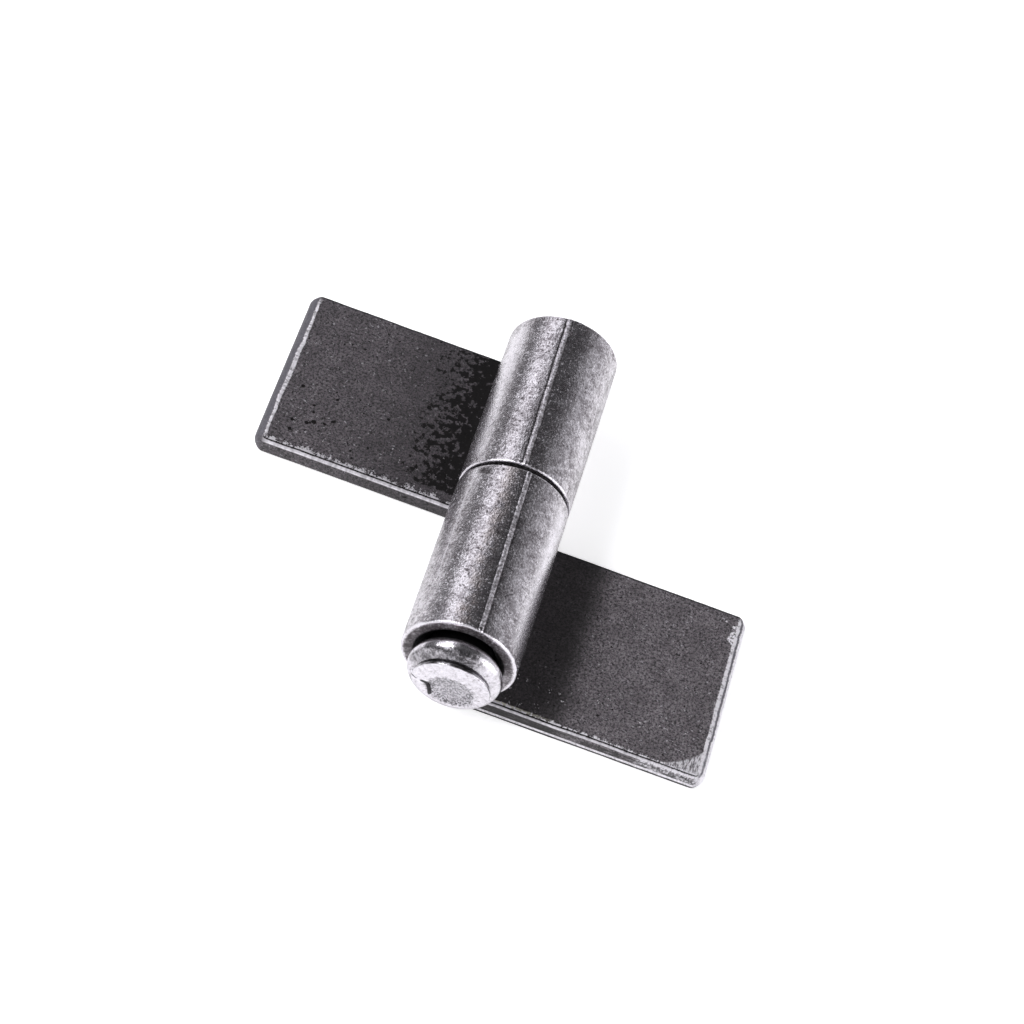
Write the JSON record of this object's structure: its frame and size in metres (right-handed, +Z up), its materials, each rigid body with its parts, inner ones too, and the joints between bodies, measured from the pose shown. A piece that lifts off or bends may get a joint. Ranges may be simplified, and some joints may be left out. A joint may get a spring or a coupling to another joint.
{
  "type": "weld-on barrel hinge",
  "caption": "Weld-on barrel hinge: flat steel leaves seated under rolled sleeves that turn on a headed pin, to hang a gate or door.",
  "frame": {"origin": "middle of the footprint, on the plane of the leaves' weld faces", "axes": "+X across the leaves towards the lower leaf, +Y along the hinge line away from the pin's head, +Z up from the weld faces to the barrel"},
  "size_m": [0.079, 0.0654, 0.0189],
  "materials": {
    "sleeve_steel": "tumbled bare steel, mottled grey with bright worn rims",
    "leaf_steel": "dark mill finish, bright where the edges are worn",
    "pin_steel": "bright peened steel"
  },
  "bodies": {
    "lower_half": {"lower_knuckle": "sleeve_steel", "lower_leaf": "leaf_steel", "hinge_pin": "pin_steel"},
    "upper_half": {"upper_knuckle": "sleeve_steel", "upper_leaf": "leaf_steel"}
  },
  "joints": [
    {"name": "hinge_turn", "type": "hinge", "parent": "lower_half", "child": "upper_half", "pos_m": [0, 0.00214, 0.0102], "axis": [0, 1, 0], "continuous": true}
  ]
}
